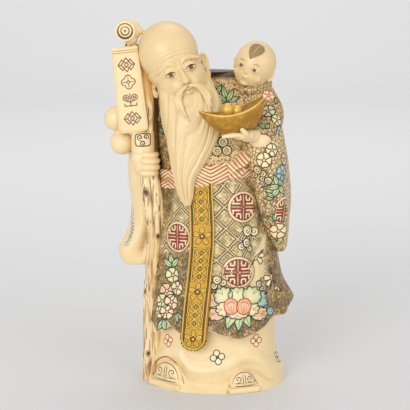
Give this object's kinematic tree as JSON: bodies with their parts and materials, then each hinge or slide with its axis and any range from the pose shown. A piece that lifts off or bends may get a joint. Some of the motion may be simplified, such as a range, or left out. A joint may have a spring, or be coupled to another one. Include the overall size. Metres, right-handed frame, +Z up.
{
  "type": "longevity god figurine",
  "caption": "Standing carved old man with a tall bald head and long beard, holding a staff with tablet and gourd and a child with an ingot; a table ornament.",
  "frame": {"origin": "middle of the foot of the underskirt, on the table", "axes": "+Z up, the figure faces -Y, its left side is +X"},
  "size_m": [0.103, 0.0716, 0.2],
  "materials": {
    "ivory_resin": "ivory-coloured casting resin, polished to a soft sheen, warm tan in the recesses",
    "engraved_resin": "ivory-coloured resin under dense engraved line work rubbed with brown and coloured inks",
    "scaled_resin": "ivory-coloured resin engraved with a fish-scale ground and coloured flowers",
    "chevron_resin": "ivory-coloured resin engraved with red chevron lines",
    "bark": "resin carved as bark, stained brown in the grain",
    "gilt": "resin with antique gold paint, darker in the hollows",
    "dowel_wood": "plain beech dowel, hidden inside"
  },
  "bodies": {
    "root": {"body_dowel": "dowel_wood", "neck_dowel": "dowel_wood", "child_neck_dowel": "dowel_wood", "curl_pin": "dowel_wood", "plaque_pin": "dowel_wood", "gourd_pin": "dowel_wood", "wrist_dowel": "dowel_wood", "child_wrist_pin": "dowel_wood", "staff": "bark", "plaque": "ivory_resin", "staff_curl": "ivory_resin", "gourd": "ivory_resin", "head": "ivory_resin", "ingot": "gilt", "nugget_large": "gilt", "nugget_small": "gilt", "gilt_sash": "gilt", "right_hand": "ivory_resin", "child_head": "ivory_resin", "child_hand": "ivory_resin", "child_body": "scaled_resin", "robe_body": "engraved_resin", "wrap_tail": "chevron_resin", "waist_wrap": "chevron_resin", "right_shoe": "ivory_resin", "left_shoe": "ivory_resin", "underskirt": "ivory_resin", "left_sleeve": "scaled_resin", "right_sleeve": "ivory_resin"}
  },
  "joints": []
}
